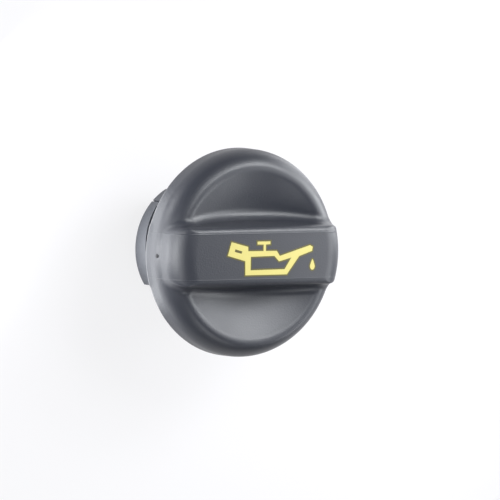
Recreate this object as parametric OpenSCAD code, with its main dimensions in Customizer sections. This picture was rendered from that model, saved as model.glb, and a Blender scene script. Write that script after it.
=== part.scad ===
// Screw-in style oil filler cap: round cover with a moulded grip bar,
// a bayonet insert closing its underside, and a flat sealing ring.
// It stands on the lower end of its stem, with the grip on top and along X.

/* [Cover] */
// Diameter of the round cover
cover_d = 62; // [56:1:72]
// Height from the skirt edge to the grip face
cover_h = 15.5; // [14:0.5:18]
// Height of the rim crest above the skirt edge
crest_h = 10.7; // [9.6:0.1:12]
// Height of the dished floor at the middle, above the skirt edge
floor_h = 5.8; // [5.4:0.1:6.6]
// Lean of the skirt, in degrees
skirt_lean = 1; // [0.5:0.5:4]
// Radius of the rounded shoulder outside the crest
shoulder_r = 6.8; // [6:0.1:7.6]
// Radius of the crest on its inner side
lip_r = 2; // [1:0.1:3]
// Rise of the dished floor from its middle to below the crest
dish_rise = 3.7; // [3:0.05:4.2]
// Radius where the floor turns up to the rim
bowl_r = 5; // [3:0.5:7]
// Wall of the moulding
wall = 2.2; // [1.8:0.1:2.6]

/* [Grip] */
// Width of the flat grip face
grip_w = 13.7; // [10:0.1:18]
// Distance from the cover's edge in to the end of the flat grip face
grip_inset = 8.1; // [6:0.05:9]
// Rounding along the long edges
grip_edge_r = 2; // [1:0.1:3]
// Rounding at the two ends
grip_end_r = 7.2; // [3:0.1:8]
// Lean of the side walls, in degrees
side_lean = 13; // [6:1:18]
// Lean of the end walls, in degrees
end_lean = 7.5; // [6:0.5:12]
// Fillet between a side wall and the floor
foot_r = 3; // [1.5:0.5:4]
// Number of cross ribs inside the grip
rib_count = 4; // [2:1:6]
// Thickness of every rib
rib_t = 1.6; // [1.2:0.1:2]
// Number of radial ribs under the rim, on each side of the grip
rim_rib_count = 4; // [3:1:7]

/* [Bayonet] */
// Length of the stem below the skirt edge
stem_l = 28.5; // [24:0.5:34]
// Outer diameter of the stem
stem_d = 33; // [28:0.5:36]
// Wall of the stem
stem_wall = 2.3; // [1.8:0.1:3]
// Diameter over the two lugs
lug_d = 39.6; // [38:0.2:42]
// Height of the lugs' lower face above the stem end
lug_base = 4.8; // [3:0.1:7]
// Thickness of a lug at its leading end
lug_t = 3.9; // [3:0.1:5]
// Rise of a lug's upper face over its length
lug_rise = 3.3; // [1:0.1:4]
// Angle that a lug covers
lug_span = 78; // [60:1:90]
// Angle that a stop rib covers
stop_span = 16; // [10:1:22]
// Gap between a stop rib and its lug, in degrees
stop_gap = 1.4; // [1:0.1:3]
// Height of the stop ribs above the lugs' lower face
stop_h = 12; // [9:0.5:16]
// Thickness of the flange
flange_t = 1.8; // [1.4:0.1:2]

/* [Sealing ring] */
// Outer diameter of the ring
seal_d = 48.4; // [44:0.2:52]
// Thickness of the ring
seal_t = 2.8; // [2:0.1:3.4]
// Clearance round the flange and round the stem
clearance = 0.2; // [0.15:0.05:0.4]

/* [Hidden] */
$fn = 128;
cover_r = cover_d / 2;
// Angle at which the shoulder's arc passes into the lip's
lip_start = 80;
shoulder_z = crest_h - lip_r - (shoulder_r - lip_r) * sin(lip_start);
shoulder_c = cover_r - shoulder_z * tan(skirt_lean) - shoulder_r / cos(skirt_lean);
crest_r = shoulder_c + (shoulder_r - lip_r) * cos(lip_start);
// Radius of the dished floor
dish_r = (crest_r * crest_r + dish_rise * dish_rise) / (2 * dish_rise);
dish_z = floor_h + dish_r;
grip_l = cover_d - 2 * grip_inset;
flange_top = floor_h - wall;
flange_z = flange_top - flange_t;
flange_r = cover_r - wall - clearance;
seal_z = flange_z - seal_t;
stem_r = stem_d / 2;
bore_r = stem_r - stem_wall;
lug_r = lug_d / 2;
// Angle of the first lug's leading end, seen from above
lug_start = 136;
lug_mid = lug_start + lug_span / 2;
lug_slope = atan(lug_rise / (lug_r * lug_span * PI / 180));
stem_bevel = 0.8;
rim_hollow_r = stem_r + 0.5;
// Ledge under the skirt that the flange seats on
seat_ledge = 0.6;
hollow_r = cover_r - wall - seat_ledge;
// Angle between the grip's line and the first radial rib
rim_rib_from = 42;
// Reach of a cross rib on either side of the grip's line
rib_reach = grip_w / 2 + wall;
shell_top = cover_h - wall;
beyond = 1;
// How far a fillet's circle dips into the faces that it joins
foot_dip = 0.03;
// Slope of the fillet's upper end, where it runs out on the crest
foot_runout = 20;
shoulder_steps = 14;
lip_steps = 5;
bowl_steps = 5;
floor_steps = 6;

// Point where two circles cross, on the left of the way from a to b
function crossing(a, ra, b, rb) =
    let (
        d = norm(b - a),
        u = (b - a) / d,
        along = (ra * ra - rb * rb + d * d) / (2 * d),
        off = sqrt(ra * ra - along * along)
    )
    a + along * u + off * [-u.y, u.x];

// Half of a section with leaning walls and a rounded upper corner
module tapered_half(flat, height, corner_r, lean) {
    centre = [flat, height - corner_r];
    tangent = centre + corner_r * [cos(lean), sin(lean)];
    foot = tangent.x + tangent.y * tan(lean);
    polygon([[0, 0], [foot, 0], tangent, centre, [flat, height], [0, height]]);
    translate(centre) circle(corner_r);
}

// Points along an arc, both ends included
function arc(centre, r, from, to, steps) =
    [for (i = [0 : steps]) let (a = from + (to - from) * i / steps) centre + r * [cos(a), sin(a)]];

// Angle of the way from one point to another
function heading(a, b) = atan2(b.y - a.y, b.x - a.x);

// Half section of the dished round body, without hollows
module disc_section() {
    floor_centre = [0, dish_z];
    shoulder_centre = [shoulder_c, shoulder_z];
    lip_centre = [crest_r, crest_h - lip_r];
    bowl = crossing(lip_centre, lip_r + bowl_r, floor_centre, dish_r - bowl_r);
    lip_end = heading(lip_centre, bowl);
    floor_end = heading(floor_centre, bowl);
    polygon(concat(
        [[0, 0], [cover_r, 0]],
        arc(shoulder_centre, shoulder_r, skirt_lean, lip_start, shoulder_steps),
        arc(lip_centre, lip_r, lip_start + (lip_end - lip_start) / lip_steps, lip_end, lip_steps - 1),
        arc(bowl, bowl_r, lip_end - 180, floor_end, bowl_steps),
        arc(floor_centre, dish_r, floor_end, -90, floor_steps)
    ));
}

// The grip bar before hollowing
module grip_bar() {
    intersection() {
        rotate([90, 0, 90])
            linear_extrude(cover_d * 2, center = true) {
                tapered_half(grip_w / 2, cover_h, grip_edge_r, side_lean);
                mirror([1, 0]) tapered_half(grip_w / 2, cover_h, grip_edge_r, side_lean);
            }
        rotate_extrude() tapered_half(grip_l / 2, cover_h, grip_end_r, end_lean);
    }
}

// Fillet between a side wall of the grip and the dished floor.
// Turned about the wall's normal through the centre of the floor's sphere.
module foot_fillet() {
    wall_normal = [cos(side_lean), sin(side_lean)];
    wall_point = [grip_w / 2, cover_h - grip_edge_r] + grip_edge_r * wall_normal;
    wall_s = ([0, dish_z] - wall_point) * wall_normal;
    centre_s = foot_r - wall_s;
    centre_rho = sqrt(pow(dish_r - foot_r, 2) - centre_s * centre_s);
    outward = (dish_r + beyond) / (dish_r - foot_r);
    intersection() {
        rotate_extrude()
            polygon([
                [0, 0],
                [crest_r + beyond, 0],
                [crest_r + beyond, crest_h - beyond * tan(foot_runout)],
                [0, crest_h + crest_r * tan(foot_runout)]
            ]);
        translate([0, 0, dish_z])
            rotate([side_lean - 90, 0, 0])
                rotate_extrude($fn = 360)
                    difference() {
                        polygon([
                            [centre_rho, centre_s],
                            [centre_rho, -wall_s - beyond],
                            [dish_r + beyond, -wall_s - beyond],
                            [centre_rho * outward, centre_s * outward]
                        ]);
                        translate([centre_rho, centre_s]) circle(foot_r + foot_dip);
                    }
    }
}

// Hollow under the rim: below the shoulder outside the crest, and below the floor inside it
module rim_hollow_section() {
    intersection() {
        translate([rim_hollow_r, flange_top - beyond]) square([hollow_r - rim_hollow_r, crest_h]);
        union() {
            square([cover_r, shoulder_z]);
            intersection() {
                translate([shoulder_c, shoulder_z]) circle(shoulder_r - wall);
                translate([crest_r, 0]) square([cover_r, crest_h]);
            }
            difference() {
                square([crest_r, crest_h - wall]);
                translate([0, dish_z]) circle(dish_r + wall, $fn = 360);
            }
        }
    }
}

// Hollow inside the grip bar
module grip_hollow() {
    intersection() {
        rotate([90, 0, 90])
            linear_extrude(cover_d, center = true) {
                tapered_half(grip_w / 2 - wall, shell_top, grip_edge_r, side_lean);
                mirror([1, 0]) tapered_half(grip_w / 2 - wall, shell_top, grip_edge_r, side_lean);
            }
        rotate_extrude() tapered_half(grip_l / 2 - wall, shell_top, grip_end_r, end_lean);
        translate([0, 0, flange_top - beyond]) cylinder(r = hollow_r, h = cover_h);
    }
}

// Ribs left standing in the hollows
module ribs() {
    for (i = [0 : rib_count - 1])
        translate([(i - (rib_count - 1) / 2) * grip_l / rib_count - rib_t / 2, -rib_reach, -beyond])
            cube([rib_t, rib_reach * 2, cover_h]);
    for (side = [0, 180], i = [0 : rim_rib_count - 1])
        rotate(side + rim_rib_from + i * (180 - 2 * rim_rib_from) / (rim_rib_count - 1))
            translate([rim_hollow_r - beyond, -rib_t / 2, -beyond])
                cube([cover_r, rib_t, cover_h]);
}

module cover() {
    color([0.16, 0.165, 0.175])
        translate([0, 0, stem_l])
            difference() {
                union() {
                    rotate_extrude() disc_section();
                    grip_bar();
                    foot_fillet();
                    mirror([0, 1, 0]) foot_fillet();
                }
                translate([0, 0, -beyond]) cylinder(r = cover_r - wall, h = flange_top + beyond);
                difference() {
                    union() {
                        rotate_extrude() rim_hollow_section();
                        grip_hollow();
                    }
                    ribs();
                }
            }
}

// Part of a ring between two angles
module ring_sector(inner_r, outer_r, height, from, span) {
    rotate(from)
        rotate_extrude(angle = span)
            translate([inner_r, 0])
                square([outer_r - inner_r, height]);
}

// One lug with its ramp, and the stop rib before it
module lug() {
    ramp_z = lug_t + lug_rise / 2;
    difference() {
        ring_sector(bore_r + stem_wall / 2, lug_r, lug_t + lug_rise + beyond, lug_start, lug_span);
        rotate(lug_mid)
            translate([0, 0, ramp_z])
                rotate([lug_slope, 0, 0])
                    translate([0, -lug_r * 2, 0])
                        cube([lug_r * 2, lug_r * 4, lug_r]);
    }
    ring_sector(bore_r + stem_wall / 2, lug_r, stop_h, lug_start - stop_gap - stop_span, stop_span);
}

module bayonet_insert() {
    flange_base = stem_l + flange_z;
    color([0.17, 0.175, 0.18])
        difference() {
            union() {
                translate([0, 0, stem_bevel])
                    cylinder(r = stem_r, h = flange_base - stem_bevel + beyond / 2);
                cylinder(r1 = stem_r - stem_bevel, r2 = stem_r, h = stem_bevel);
                translate([0, 0, flange_base]) cylinder(r = flange_r, h = flange_t);
                for (turn = [0, 180])
                    rotate(turn) translate([0, 0, lug_base]) lug();
            }
            translate([0, 0, -beyond]) cylinder(r = bore_r, h = flange_base + beyond);
        }
}

module sealing_ring() {
    corner_r = seal_t / 4;
    inner_r = stem_r + clearance;
    outer_r = seal_d / 2;
    color([0.08, 0.08, 0.085])
        translate([0, 0, stem_l + seal_z])
            rotate_extrude() {
                translate([inner_r, 0]) square([outer_r - inner_r - corner_r, seal_t]);
                translate([inner_r, corner_r]) square([outer_r - inner_r, seal_t - 2 * corner_r]);
                for (z = [corner_r, seal_t - corner_r])
                    translate([outer_r - corner_r, z]) circle(corner_r);
            }
}

cover();
bayonet_insert();
sealing_ring();
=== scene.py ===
import math

import bmesh
import bpy
import numpy as np
from mathutils import Matrix, Vector


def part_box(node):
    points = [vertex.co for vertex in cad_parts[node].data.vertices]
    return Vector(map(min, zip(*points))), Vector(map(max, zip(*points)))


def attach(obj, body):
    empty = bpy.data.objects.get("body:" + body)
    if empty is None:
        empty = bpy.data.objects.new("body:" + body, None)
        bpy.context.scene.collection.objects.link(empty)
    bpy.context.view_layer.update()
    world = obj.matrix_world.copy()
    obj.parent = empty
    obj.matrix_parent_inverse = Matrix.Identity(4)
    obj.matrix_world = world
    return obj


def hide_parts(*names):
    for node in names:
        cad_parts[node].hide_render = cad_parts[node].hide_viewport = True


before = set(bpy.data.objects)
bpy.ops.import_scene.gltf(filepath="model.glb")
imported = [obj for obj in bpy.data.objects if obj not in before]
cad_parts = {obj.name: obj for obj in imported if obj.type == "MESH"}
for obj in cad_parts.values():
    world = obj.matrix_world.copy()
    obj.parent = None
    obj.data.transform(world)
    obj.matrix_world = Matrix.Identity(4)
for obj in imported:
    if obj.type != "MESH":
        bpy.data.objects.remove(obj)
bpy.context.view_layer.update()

MM = 0.001


# Sizes of the cover in millimetres, heights from its skirt edge. What the frame gives is read from it.
cover_low, cover_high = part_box("cover")
SKIRT_Z = cover_low.z / MM
COVER_R = cover_high.y / MM
FACE_H = (cover_high.z - cover_low.z) / MM
WALL = 2.2

# Round body: crest height, dish floor height, and the arcs of its section
CREST_H = 10.7
FLOOR_H = 5.8
SKIRT_LEAN = math.radians(1)
SKIRT_EDGE_R = 0.4
SHOULDER_R = 6.8
LIP_START = math.radians(65)
LIP_R = 3.4
DISH_SLOPE = math.radians(28)
DISH_PAST_AXIS = 0.3
LOWER_CREST_OUT = 0.9
RIGHT_CREST_OUT = 0.3
CREST_OUT_END_R = COVER_R - 0.5

# Grip bar
GRIP_W = 13.7
GRIP_INSET = 8.1
GRIP_CENTRE_Y = -0.3
GRIP_EDGE_R = 2.0
GRIP_END_R = 7.2
GRIP_CORNER_R = 3.5
SIDE_LEAN = math.radians(13)
END_LEAN = math.radians(7.5)

# Fillet at the foot of the grip, which changes along the bar and flares where its right end meets the skirt
FOOT_MIDDLE_R = 3.0
FOOT_LOWER_LESS = 0.9
FOOT_LOWER_FADE = 4.0
FOOT_RIM_R = 2.5
FOOT_CHANGE_START_R = 12.0
FLARE_R = 7.5
FLARE_START_OUT = 1.0
FLARE_END_IN = 1.0
FLARE_FADE_X = 5.0

# Fine mould lines along the long edges of the grip face
EDGE_LINE_Y = 6.75
EDGE_LINE_W = 0.22
EDGE_LINE_H = 0.035

# Sizes that follow from those above
SHOULDER_H = CREST_H - LIP_R - (SHOULDER_R - LIP_R) * math.sin(LIP_START)
SHOULDER_C = COVER_R - SHOULDER_H * math.tan(SKIRT_LEAN) - SHOULDER_R / math.cos(SKIRT_LEAN)
CREST_R = SHOULDER_C + (SHOULDER_R - LIP_R) * math.cos(LIP_START)
DISH_R = CREST_R / math.sin(DISH_SLOPE) - LIP_R
DISH_H = CREST_H - LIP_R + (DISH_R + LIP_R) * math.cos(DISH_SLOPE)
GRIP_L = 2 * (COVER_R - GRIP_INSET)
POCKET_H = FLOOR_H - WALL
SHOULDER_CENTRE = (SHOULDER_C, SHOULDER_H)
LIP_CENTRE = (CREST_R, CREST_H - LIP_R)
DISH_CENTRE = (0.0, DISH_H)

# Mesh of the cover: grid cell, room round the solid, and how its vertices are pulled on to the surface
CELL = 0.4
SIDE_ROOM = 1.5
HEIGHT_ROOM = 1.0
PULL_STEPS = 4
PROBE_SHARE = 0.05
LEAST_STEEPNESS = 0.2
MERGE_WITHIN = 0.002
FAR = 1e9
TINY = 1e-9


# Signed distances, in millimetres, on arrays of points. They are negative inside.
def smooth_step(value, low, high):
    """Rises smoothly from 0 at the low value to 1 at the high one."""
    t = np.clip((value - low) / (high - low), 0.0, 1.0)
    return t * t * (3.0 - 2.0 * t)


def round_meet(distances, radius):
    """Intersection with its edges rounded."""
    outside = [np.maximum(d + radius, 0.0) for d in distances]
    inside = distances[0]
    for d in distances[1:]:
        inside = np.maximum(inside, d)
    return np.sqrt(sum(o * o for o in outside)) + np.minimum(inside + radius, 0.0) - radius


def distance_and_slope(distance, x, y, z, step=0.02):
    """A distance, and the direction in which it grows."""
    here = distance(x, y, z)
    ahead = (distance(x + step, y, z), distance(x, y + step, z), distance(x, y, z + step))
    growth = [d - here for d in ahead]
    length = np.sqrt(sum(g * g for g in growth)) + TINY
    return here, [g / length for g in growth]


def round_join(first, second, x, y, z, radius, least_radius=0.02):
    """Union with a fillet, which fades out where the two surfaces run side by side."""
    a, a_slope = distance_and_slope(first, x, y, z)
    b, b_slope = distance_and_slope(second, x, y, z)
    likeness = np.clip(sum(p * q for p, q in zip(a_slope, b_slope)), 0.0, 1.0)
    radius = radius * (1.0 - likeness) + least_radius
    u = np.maximum(radius - a, 0.0)
    v = np.maximum(radius - b, 0.0)
    return np.maximum(radius, np.minimum(a, b)) - np.sqrt(u * u + v * v)


def arc_distance(r, z, centre, radius, first, last, hollow=False):
    """Signed distance to an arc of the section, and FAR beyond its ends."""
    dr = r - centre[0]
    dz = z - centre[1]
    angle = np.arctan2(dz, dr)
    d = np.hypot(dr, dz) - radius
    d = -d if hollow else d
    return np.where((angle >= first) & (angle <= last), d, FAR)


def crest_shift(x, y, r):
    """How much further out the crest lies than CREST_R, at the lower and the right side."""
    safe_r = np.maximum(r, 1.0)
    lower = smooth_step(-y / safe_r, 0.0, 1.0)
    right = smooth_step(x / safe_r, 0.0, 1.0)
    fade = 1.0 - smooth_step(r, CREST_R, CREST_OUT_END_R)
    return (LOWER_CREST_OUT * lower + RIGHT_CREST_OUT * right) * fade


def disc_distance(x, y, z):
    """The dished round body: skirt, shoulder, lip and dish, each tangent to the next."""
    r = np.hypot(x, y)
    along = z * math.cos(SKIRT_LEAN) - (r - COVER_R) * math.sin(SKIRT_LEAN)
    skirt = (r - COVER_R) * math.cos(SKIRT_LEAN) + z * math.sin(SKIRT_LEAN)
    skirt_end = SHOULDER_H * math.cos(SKIRT_LEAN) - (SHOULDER_C - COVER_R) * math.sin(SKIRT_LEAN)
    best = np.where(along <= skirt_end, skirt, FAR)
    r = r - crest_shift(x, y, r)
    right_angle = math.pi / 2
    dish_start = -right_angle - DISH_PAST_AXIS
    for d in (
        arc_distance(r, z, SHOULDER_CENTRE, SHOULDER_R, SKIRT_LEAN, LIP_START),
        arc_distance(r, z, LIP_CENTRE, LIP_R, LIP_START, right_angle + DISH_SLOPE),
        arc_distance(r, z, DISH_CENTRE, DISH_R, dish_start, DISH_SLOPE - right_angle, hollow=True),
    ):
        best = np.where(np.abs(d) < np.abs(best), d, best)
    return best


def leaning_section(reach, z, flat, corner_r, lean):
    """Distances to a leaning wall, and to the same wall with its rounded upper edge."""
    out = reach - flat
    rise = z - (FACE_H - corner_r)
    wall = out * math.cos(lean) + rise * math.sin(lean) - corner_r
    along = rise * math.cos(lean) - out * math.sin(lean)
    corner = np.hypot(out, rise) - corner_r
    rounded = np.where((along > 0) & (out > 0), corner, np.maximum(wall, z - FACE_H))
    return wall, rounded


def grip_distance(x, y, z):
    """The leaning grip bar, with its long edges, ends and corners rounded."""
    side_reach = np.abs(y - GRIP_CENTRE_Y)
    end_reach = np.hypot(x, y)
    side_wall, side = leaning_section(side_reach, z, GRIP_W / 2, GRIP_EDGE_R, SIDE_LEAN)
    end_wall, end = leaning_section(end_reach, z, GRIP_L / 2, GRIP_END_R, END_LEAN)
    return np.maximum(np.maximum(side, end), round_meet([side_wall, end_wall], GRIP_CORNER_R))


def foot_radius(x, y, r):
    """Radius of the fillet at the foot of the grip."""
    to_rim = smooth_step(r, FOOT_CHANGE_START_R, CREST_R)
    lower = smooth_step(GRIP_CENTRE_Y - y, 0.0, FOOT_LOWER_FADE) * (1.0 - to_rim)
    outer = smooth_step(r, CREST_R + FLARE_START_OUT, COVER_R - FLARE_END_IN)
    right = smooth_step(x, -FLARE_FADE_X, FLARE_FADE_X)
    middle_part = FOOT_MIDDLE_R - FOOT_LOWER_LESS * lower
    return middle_part + (FOOT_RIM_R - FOOT_MIDDLE_R) * to_rim + (FLARE_R - FOOT_RIM_R) * outer * right


def cover_distance(x, y, z):
    """The whole cover, with the pocket for the insert's flange underneath."""
    r = np.hypot(x, y)
    body = round_join(disc_distance, grip_distance, x, y, z, foot_radius(x, y, r))
    body = round_meet([body, -z], SKIRT_EDGE_R)
    pocket = np.maximum(r - (COVER_R - WALL), z - POCKET_H)
    return np.maximum(body, -pocket)


# Mesh from a signed distance
def new_object(name, data):
    """An object in the scene with this mesh, camera or lamp."""
    item = bpy.data.objects.new(name, data)
    bpy.context.scene.collection.objects.link(item)
    return item


def crossed_cells(grid, value, cell):
    """The grid cells that the surface crosses: the mean of its crossings with each cell's edges, and an
    array with each cell's place in that list, or -1."""
    shape = tuple(n - 1 for n in value.shape)
    point_sum = np.zeros(shape + (3,))
    cross_count = np.zeros(shape)
    for axis in range(3):
        step = [0, 0, 0]
        step[axis] = 1
        near = value[:value.shape[0] - step[0], :value.shape[1] - step[1], :value.shape[2] - step[2]]
        far = value[step[0]:, step[1]:, step[2]:]
        crossing = (near < 0.0) != (far < 0.0)
        share = np.where(crossing, near / np.where(crossing, near - far, 1.0), 0.0)
        point = grid[:near.shape[0], :near.shape[1], :near.shape[2]] + 0.0
        point[..., axis] += share * cell
        others = [a for a in range(3) if a != axis]
        for i in (0, 1):
            for j in (0, 1):
                start = [0, 0, 0]
                start[others[0]] = i
                start[others[1]] = j
                window = tuple(slice(s, s + n) for s, n in zip(start, shape))
                point_sum += point[window] * crossing[window][..., None]
                cross_count += crossing[window]
    crossed = cross_count > 0
    index = np.full(shape, -1)
    index[crossed] = np.arange(crossed.sum())
    return point_sum[crossed] / cross_count[crossed][:, None], index


def pull_to_surface(points, distance, cell):
    """The points moved on to the surface, in steps of half a cell at most."""
    small = cell * PROBE_SHARE
    for _ in range(PULL_STEPS):
        here = distance(*points.T)
        gradient = np.stack([
            distance(*(points + offset).T) - distance(*(points - offset).T)
            for offset in np.eye(3) * small
        ], -1) / (2 * small)
        steepness = np.maximum((gradient * gradient).sum(-1), LEAST_STEEPNESS)
        move = -(here / steepness)[:, None] * gradient
        points = points + np.clip(move, -cell / 2, cell / 2)
    return points


def surface_quads(inside, index):
    """One face round each grid edge that has one end inside, its front side outward."""
    quads = []
    for axis in range(3):
        b = (axis + 1) % 3
        c = (axis + 2) % 3
        near = [slice(None)] * 3
        near[axis] = slice(0, index.shape[axis])
        near[b] = slice(1, index.shape[b])
        near[c] = slice(1, index.shape[c])
        far = list(near)
        far[axis] = slice(1, index.shape[axis] + 1)
        near_inside = inside[tuple(near)]
        places = np.argwhere(near_inside != inside[tuple(far)])
        outward = near_inside[tuple(places.T)]
        places[:, b] += 1
        places[:, c] += 1
        ring = []
        for back_b, back_c in ((1, 1), (0, 1), (0, 0), (1, 0)):
            cells = places.copy()
            cells[:, b] -= back_b
            cells[:, c] -= back_c
            ring.append(index[tuple(cells.T)])
        ring = np.stack(ring, -1)
        ring[~outward] = ring[~outward][:, ::-1]
        quads.append(ring)
    return np.concatenate(quads)


def mesh_from_distance(name, distance, low, high, cell):
    """Surface of a solid given by its signed distance, with one vertex in each grid cell that it crosses."""
    axes = [np.arange(a, b + cell, cell) for a, b in zip(low, high)]
    grid = np.stack(np.meshgrid(*axes, indexing="ij"), -1)
    value = distance(grid[..., 0], grid[..., 1], grid[..., 2])
    points, index = crossed_cells(grid, value, cell)
    points = pull_to_surface(points, distance, cell)
    points[:, 2] += SKIRT_Z
    mesh = bpy.data.meshes.new(name)
    mesh.from_pydata(points * MM, [], surface_quads(value < 0.0, index).tolist())
    solid = bmesh.new()
    solid.from_mesh(mesh)
    bmesh.ops.remove_doubles(solid, verts=solid.verts, dist=MERGE_WITHIN * MM)
    solid.to_mesh(mesh)
    solid.free()
    mesh.shade_smooth()
    return new_object(name, mesh)


# Materials. Grain scales are in cells a metre, grain depths in millimetres.
GRAIN_DETAIL = 3.0
GRAIN_STRENGTH = 0.6


def new_material(name, colour, roughness, specular=0.5):
    material = bpy.data.materials.new(name)
    material.use_nodes = True
    shader = material.node_tree.nodes["Principled BSDF"]
    shader.inputs["Base Color"].default_value = (*colour, 1.0)
    shader.inputs["Roughness"].default_value = roughness
    shader.inputs["Specular IOR Level"].default_value = specular
    return material, shader


def add_grain(material, shader, scale, depth, roughness_low, roughness_high):
    """Fine moulded grain: bump, and a little change of roughness."""
    nodes = material.node_tree.nodes
    links = material.node_tree.links
    place = nodes.new("ShaderNodeTexCoord")
    grain = nodes.new("ShaderNodeTexNoise")
    grain.inputs["Scale"].default_value = scale
    grain.inputs["Detail"].default_value = GRAIN_DETAIL
    links.new(place.outputs["Object"], grain.inputs["Vector"])
    bump = nodes.new("ShaderNodeBump")
    bump.inputs["Strength"].default_value = GRAIN_STRENGTH
    bump.inputs["Distance"].default_value = depth * MM
    links.new(grain.outputs["Fac"], bump.inputs["Height"])
    links.new(bump.outputs["Normal"], shader.inputs["Normal"])
    sheen = nodes.new("ShaderNodeMapRange")
    sheen.inputs["To Min"].default_value = roughness_low
    sheen.inputs["To Max"].default_value = roughness_high
    links.new(grain.outputs["Fac"], sheen.inputs["Value"])
    links.new(sheen.outputs["Result"], shader.inputs["Roughness"])
    return bump


def maths(nodes, links, operation, first, number):
    """One maths node on a link and a number."""
    node = nodes.new("ShaderNodeMath")
    node.operation = operation
    links.new(first, node.inputs[0])
    node.inputs[1].default_value = number
    return node.outputs[0]


def add_edge_lines(material, bump):
    """The two fine mould lines along the long edges of the grip, as ridges under the grain's bump."""
    nodes = material.node_tree.nodes
    links = material.node_tree.links
    place = nodes.new("ShaderNodeTexCoord")
    parts = nodes.new("ShaderNodeSeparateXYZ")
    links.new(place.outputs["Object"], parts.inputs[0])
    from_centre = maths(nodes, links, "SUBTRACT", parts.outputs["Y"], GRIP_CENTRE_Y * MM)
    side = maths(nodes, links, "ABSOLUTE", from_centre, 0.0)
    from_line = maths(nodes, links, "SUBTRACT", side, EDGE_LINE_Y * MM)
    away = maths(nodes, links, "ABSOLUTE", from_line, 0.0)
    ridge = nodes.new("ShaderNodeMapRange")
    ridge.interpolation_type = "SMOOTHSTEP"
    ridge.inputs["From Max"].default_value = EDGE_LINE_W * MM
    ridge.inputs["To Min"].default_value = 1.0
    ridge.inputs["To Max"].default_value = 0.0
    links.new(away, ridge.inputs["Value"])
    line_bump = nodes.new("ShaderNodeBump")
    line_bump.inputs["Strength"].default_value = 1.0
    line_bump.inputs["Distance"].default_value = EDGE_LINE_H * MM
    links.new(ridge.outputs["Result"], line_bump.inputs["Height"])
    links.new(line_bump.outputs["Normal"], bump.inputs["Normal"])


def cover_plastic():
    material, shader = new_material("cover_plastic", (0.026, 0.028, 0.036), 0.39)
    bump = add_grain(material, shader, 2000.0, 0.07, 0.32, 0.46)
    add_edge_lines(material, bump)
    return material


def insert_plastic():
    material, shader = new_material("insert_plastic", (0.05, 0.053, 0.062), 0.45)
    add_grain(material, shader, 900.0, 0.03, 0.42, 0.56)
    return material


def seal_rubber():
    material, shader = new_material("seal_rubber", (0.02, 0.02, 0.022), 0.75, 0.35)
    add_grain(material, shader, 1200.0, 0.04, 0.68, 0.82)
    return material


# Grained paint, for the yellow print and for the painted shade along its edge
def print_and_shade_paint(name, colour):
    material, shader = new_material(name, colour, 0.5)
    add_grain(material, shader, 2200.0, 0.03, 0.42, 0.58)
    return material


def gate_plastic():
    return new_material("gate_plastic", (0.008, 0.008, 0.01), 0.6, 0.3)[0]


def set_material(piece, material):
    piece.data.materials.clear()
    piece.data.materials.append(material)


# Pictogram of an oil can, in millimetres on the grip face. The can's stretches follow each other clockwise.
HANDLE = [(-12.3, 0.1), (-11.0, 4.1), (-5.2, 2.6), (-5.1, 1.3)]
NECK_LEFT = [(0.25, 1.27), (0.25, 3.2), (-1.9, 3.25), (-1.9, 4.1)]
NECK_RIGHT = [(2.6, 4.1), (2.6, 3.25), (1.05, 3.2), (1.05, 1.27)]
SPOUT = [(4.9, 1.25), (6.0, -0.3), (16.6, 2.7), (17.6, 2.2), (17.4, 1.0), (12.9, -0.45)]
BODY = [(8.6, -5.8), (-6.0, -5.8), (-6.1, -1.6)]
CAN = HANDLE + NECK_LEFT + NECK_RIGHT + SPOUT + BODY
HANDLE_HOLE = [(-9.9, 1.2), (-9.7, 2.0), (-7.2, 1.3), (-7.5, 0.6)]
BODY_HOLE = [(-4.2, -4.35), (7.8, -4.25), (10.1, -0.85), (5.8, -1.9), (4.1, -0.25), (-4.2, -0.35)]
DROP_PLACE = (17.6, -3.5)
DROP_R = 0.85
DROP_TIP = 2.0
DROP_TAIL = 1.3
DROP_NARROWING = 0.55
DROP_POINTS = 24
PRINT_HALF_T = 0.02
PRINT_RISE = 0.02
# A dark olive layer, spread beyond the print and lying just under it, is painted shade along the edge of the
# print's recess
SHADE_RIM_SPREAD = 0.45
SHADE_RIM_RISE = 0.005


def drop_outline():
    """The drop: a round lower half, drawn out and narrowed to a tip above."""
    points = []
    for i in range(DROP_POINTS):
        turn = 2 * math.pi * i / DROP_POINTS
        stretch = DROP_TIP / DROP_R if math.cos(turn) > 0 else DROP_TAIL
        narrow = 1.0 - DROP_NARROWING * max(math.cos(turn), 0.0)
        x = DROP_PLACE[0] + DROP_R * narrow * math.sin(turn)
        y = DROP_PLACE[1] + DROP_R * stretch * math.cos(turn)
        points.append((x, y))
    return points


def pictogram(name, outlines, spread, rise):
    """The oil can as a thin layer on the grip face, its outline moved outward by the spread; the spread-out
    dark layer is painted shade along the print's edge.
    """
    curve = bpy.data.curves.new(name, "CURVE")
    curve.dimensions = "2D"
    curve.fill_mode = "BOTH"
    curve.extrude = PRINT_HALF_T * MM
    curve.offset = spread * MM
    for outline in outlines:
        spline = curve.splines.new("POLY")
        spline.points.add(len(outline) - 1)
        spline.use_cyclic_u = True
        for point, (x, y) in zip(spline.points, outline):
            point.co = (x * MM, y * MM, 0.0, 1.0)
    flat = new_object(name + "_outline", curve)
    bpy.context.view_layer.update()
    mesh = bpy.data.meshes.new_from_object(flat.evaluated_get(bpy.context.evaluated_depsgraph_get()))
    bpy.data.objects.remove(flat)
    mesh.transform(Matrix.Translation((0.0, 0.0, cover_high.z + rise * MM)))
    return new_object(name, mesh)


# Mark of the moulding gate on the left end of the grip
GATE_Y = -0.25
GATE_H = 5.6
GATE_R = 0.6
GATE_SHAPE = (0.2, 1.0, 1.2)
GATE_SEGMENTS = 20
GATE_RINGS = 12
SEARCH_OUT = 2.0
HALVINGS = 30


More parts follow.
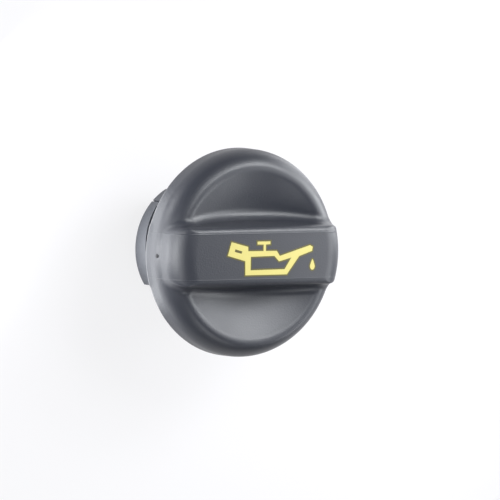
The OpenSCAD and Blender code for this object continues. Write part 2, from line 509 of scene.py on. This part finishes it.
def left_face_x(y, z):
    """Where the left side's surface lies at this height, found by halving."""
    low = -COVER_R - SEARCH_OUT
    high = -COVER_R / 2
    for _ in range(HALVINGS):
        middle = (low + high) / 2
        if cover_distance(np.array([middle]), np.array([y]), np.array([z]))[0] > 0:
            low = middle
        else:
            high = middle
    return low


def gate_mark():
    mesh = bpy.data.meshes.new("gate_mark")
    solid = bmesh.new()
    bmesh.ops.create_uvsphere(
        solid, u_segments=GATE_SEGMENTS, v_segments=GATE_RINGS, radius=GATE_R * MM)
    bmesh.ops.scale(solid, vec=GATE_SHAPE, verts=solid.verts)
    place = Vector((left_face_x(GATE_Y, GATE_H), GATE_Y, SKIRT_Z + GATE_H)) * MM
    bmesh.ops.translate(solid, vec=place, verts=solid.verts)
    solid.to_mesh(mesh)
    solid.free()
    mesh.shade_smooth()
    return new_object("gate_mark", mesh)


# Pieces
cover = mesh_from_distance(
    "cover_moulding", cover_distance,
    (-COVER_R - SIDE_ROOM, -COVER_R - SIDE_ROOM, -HEIGHT_ROOM),
    (COVER_R + SIDE_ROOM, COVER_R + SIDE_ROOM, FACE_H + HEIGHT_ROOM), CELL)
set_material(cover, cover_plastic())
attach(cover, "root")
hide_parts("cover")

# Dark olive colour of the painted shade along the print's edge
PRINT_EDGE_PAINTED_SHADE = print_and_shade_paint("print_edge_painted_shade", (0.065, 0.055, 0.004))
YELLOW_PAINT = print_and_shade_paint("yellow_print", (0.49, 0.43, 0.128))
# First the painted shade round the print's edge, then the yellow print on top of it
for name, outlines, spread, rise, material in (
    ("pictogram_painted_shade_rim", (CAN, BODY_HOLE, drop_outline()), SHADE_RIM_SPREAD, SHADE_RIM_RISE, PRINT_EDGE_PAINTED_SHADE),
    ("pictogram", (CAN, HANDLE_HOLE, BODY_HOLE, drop_outline()), 0.0, PRINT_RISE, YELLOW_PAINT),
):
    sign = pictogram(name, outlines, spread, rise)
    set_material(sign, material)
    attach(sign, "root")

gate = gate_mark()
set_material(gate, gate_plastic())
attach(gate, "root")

set_material(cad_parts["bayonet_insert"], insert_plastic())
set_material(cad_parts["sealing_ring"], seal_rubber())


# Camera: the photograph's axes in the cap's frame. RING_PIXEL shows the point of the axis at RING_H.
SIDE_TURN = math.radians(33.0)
LIFT = math.radians(3.9)
ROLL = math.radians(1.15)
PHOTO_SIZE = 500
PHOTO_SCALE = 3.373
RING_PIXEL = (239.4, 252.4)
RING_H = 2.8
CAMERA_DISTANCE = 2.5
CAMERA_SEES_FROM = 0.01
CAMERA_SEES_TO = 10.0
SENSOR = 36.0

plain_right = Vector((math.cos(SIDE_TURN), 0.0, math.sin(SIDE_TURN)))
plain_up = Vector((
    math.sin(SIDE_TURN) * math.sin(LIFT),
    math.cos(LIFT),
    -math.cos(SIDE_TURN) * math.sin(LIFT)))
back = plain_right.cross(plain_up)
right = plain_right * math.cos(ROLL) + plain_up * math.sin(ROLL)
up = plain_up * math.cos(ROLL) - plain_right * math.sin(ROLL)
ring_point = Vector((0.0, 0.0, SKIRT_Z + RING_H)) * MM
off_centre = right * (PHOTO_SIZE / 2 - RING_PIXEL[0]) + up * (RING_PIXEL[1] - PHOTO_SIZE / 2)
target = ring_point + off_centre * (MM / PHOTO_SCALE)

camera_data = bpy.data.cameras.new("camera")
camera_data.sensor_width = SENSOR
camera_data.lens = SENSOR * PHOTO_SCALE / MM * CAMERA_DISTANCE / PHOTO_SIZE
camera_data.clip_start = CAMERA_SEES_FROM
camera_data.clip_end = CAMERA_SEES_TO
camera = new_object("camera", camera_data)
turn = Matrix((right, up, back)).transposed().to_4x4()
camera.matrix_world = Matrix.Translation(target + back * CAMERA_DISTANCE) @ turn
bpy.context.scene.camera = camera


# Floor, lamps and world. Lengths here are in metres, powers in watts.
FLOOR_HALF = 3.0
FLOOR_COLOUR = (0.585, 0.575, 0.615, 1.0)
WHITE = (1.0, 1.0, 1.0, 1.0)
GLOW_SHARE = 0.75
LAMP_COLOUR = (0.96, 0.98, 1.0)
WORLD_STRENGTH = 0.02


def floor_material():
    """Matt floor, which the camera and mirroring surfaces see mixed with plain white."""
    material = bpy.data.materials.new("floor_white")
    material.use_nodes = True
    nodes = material.node_tree.nodes
    links = material.node_tree.links
    nodes.clear()
    out = nodes.new("ShaderNodeOutputMaterial")
    diffuse = nodes.new("ShaderNodeBsdfDiffuse")
    diffuse.inputs["Color"].default_value = FLOOR_COLOUR
    glow = nodes.new("ShaderNodeEmission")
    glow.inputs["Color"].default_value = WHITE
    glow.inputs["Strength"].default_value = 1.0
    path = nodes.new("ShaderNodeLightPath")
    seen = nodes.new("ShaderNodeMath")
    seen.operation = "MAXIMUM"
    links.new(path.outputs["Is Camera Ray"], seen.inputs[0])
    links.new(path.outputs["Is Glossy Ray"], seen.inputs[1])
    share = maths(nodes, links, "MULTIPLY", seen.outputs[0], GLOW_SHARE)
    mix = nodes.new("ShaderNodeMixShader")
    links.new(share, mix.inputs["Fac"])
    links.new(diffuse.outputs[0], mix.inputs[1])
    links.new(glow.outputs[0], mix.inputs[2])
    links.new(mix.outputs[0], out.inputs["Surface"])
    return material


floor_mesh = bpy.data.meshes.new("floor")
floor_corners = [(x * FLOOR_HALF, y * FLOOR_HALF, 0.0) for x, y in ((-1, -1), (1, -1), (1, 1), (-1, 1))]
floor_mesh.from_pydata(floor_corners, [], [(0, 1, 2, 3)])
floor = new_object("floor", floor_mesh)
set_material(floor, floor_material())


def area_lamp(name, place, looks_from, width, height, power):
    """A rectangular lamp, not seen by the camera. Its back points along the second vector."""
    data = bpy.data.lights.new(name, "AREA")
    data.shape = "RECTANGLE"
    data.size = width
    data.size_y = height
    data.energy = power
    data.color = LAMP_COLOUR
    lamp = new_object(name, data)
    lamp.location = place
    lamp.rotation_mode = "QUATERNION"
    lamp.rotation_quaternion = looks_from.to_track_quat("Z", "Y")
    lamp.visible_camera = False


def direction(azimuth, elevation):
    """Unit vector for an azimuth and an elevation in degrees."""
    level = math.cos(math.radians(elevation))
    return Vector((
        math.cos(math.radians(azimuth)) * level,
        math.sin(math.radians(azimuth)) * level,
        math.sin(math.radians(elevation))))


# Softboxes round the grip face: azimuth, elevation, distance, width and power
TOP_POINT = Vector((0.0, 0.0, 0.04))
for name, azimuth, elevation, distance, width, power in (
    ("left_softbox", 180, 12, 0.28, 0.15, 0.80),
    ("main_softbox", 45, 38, 0.28, 0.10, 0.435),
    ("upper_softbox", 68, 58, 0.28, 0.15, 0.524),
    ("lower_softbox", 270, 38, 0.28, 0.15, 0.20),
    ("right_near", 20, 20, 0.15, 0.07, 0.085),
    ("right_floor", 12, 4, 0.20, 0.08, 0.135),
    ("right_low_near", -30, 20, 0.15, 0.07, 0.064),
    ("right_high_near", 0, 38, 0.15, 0.09, 0.108),
    ("right_shoulder", 37, 2, 0.14, 0.05, 0.036),
):
    way = direction(azimuth, elevation)
    area_lamp(name, TOP_POINT + way * distance, way, width, width, power)

# Panels low at the left, for the light end face, skirt and stem
LEFT_FACE = Vector((-0.025, 0.0, 0.034))
for name, place, width, power in (
    ("low_left", Vector((-0.085, 0.0, 0.012)), 0.03, 0.028),
    ("low_left_up", Vector((-0.08, 0.05, 0.02)), 0.04, 0.027),
):
    area_lamp(name, place, place - LEFT_FACE, width, width, power)

# Cards that lie on the floor and shine upward: place, width along X, depth along Y and power
CARD_H = 0.003
DOWN = Vector((0.0, 0.0, -1.0))
for name, x, y, width, depth, power in (
    ("floor_card", -0.072, 0.0, 0.06, 0.06, 0.040),
    ("floor_card_down", -0.072, -0.055, 0.06, 0.05, 0.024),
    ("floor_card_stem", -0.033, 0.0, 0.018, 0.06, 0.014),
    ("floor_card_right", 0.08, 0.068, 0.05, 0.07, 0.028),
):
    area_lamp(name, Vector((x, y, CARD_H)), DOWN, width, depth, power)

# Upright panel further out at the left, for the left part of the grip
PANEL_PLACE = Vector((-0.11, 0.0, 0.12))
LEFT = Vector((-1.0, 0.0, 0.0))
area_lamp("left_panel", PANEL_PLACE, LEFT, width=0.12, height=0.055, power=0.072)

world = bpy.data.worlds.new("world")
bpy.context.scene.world = world
world.use_nodes = True
background = world.node_tree.nodes["Background"]
background.inputs["Color"].default_value = WHITE
background.inputs["Strength"].default_value = WORLD_STRENGTH

bpy.context.scene.view_settings.view_transform = "Standard"
